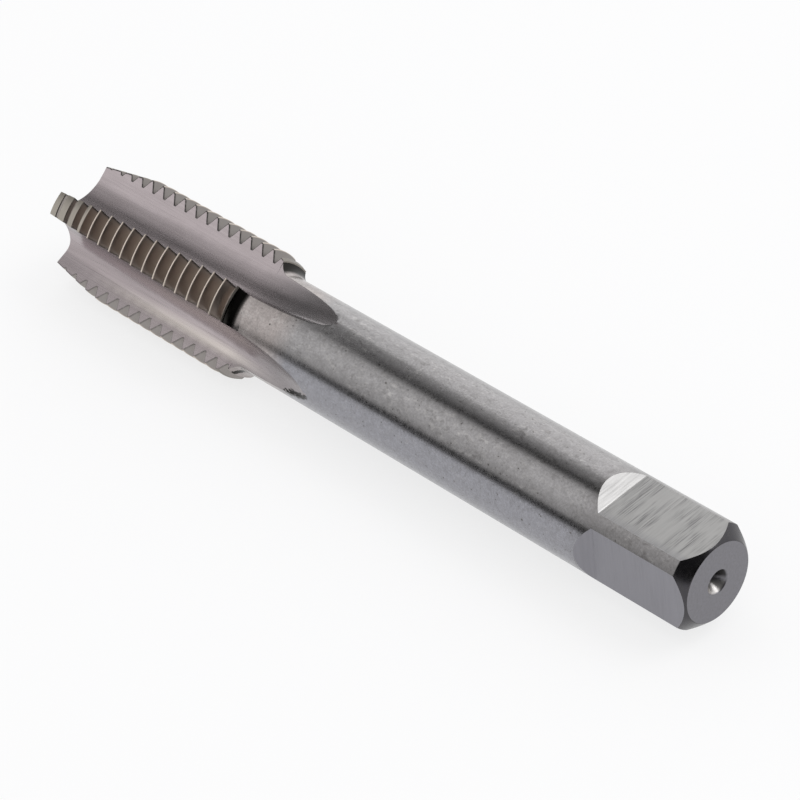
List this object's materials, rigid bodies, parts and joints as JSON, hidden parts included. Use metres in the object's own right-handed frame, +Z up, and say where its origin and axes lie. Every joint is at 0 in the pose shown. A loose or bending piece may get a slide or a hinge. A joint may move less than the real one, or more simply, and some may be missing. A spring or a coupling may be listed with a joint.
{
  "type": "thread tap",
  "caption": "Straight-flute hand tap with a ground taper lead, right-hand metric thread, plain round shank and driving square.",
  "frame": {"origin": "on the tap's axis, in the plane of the drive end's face", "axes": "+X along the axis out of the drive end, so the threaded tip is at -X; +Z up through the middle of one flute; +Y to the side"},
  "size_m": [0.102, 0.0144, 0.0144],
  "materials": {
    "ground_steel": "ground high-speed steel, satin, browned by oil in the thread"
  },
  "bodies": {
    "root": {"tap": "ground_steel"}
  },
  "joints": []
}
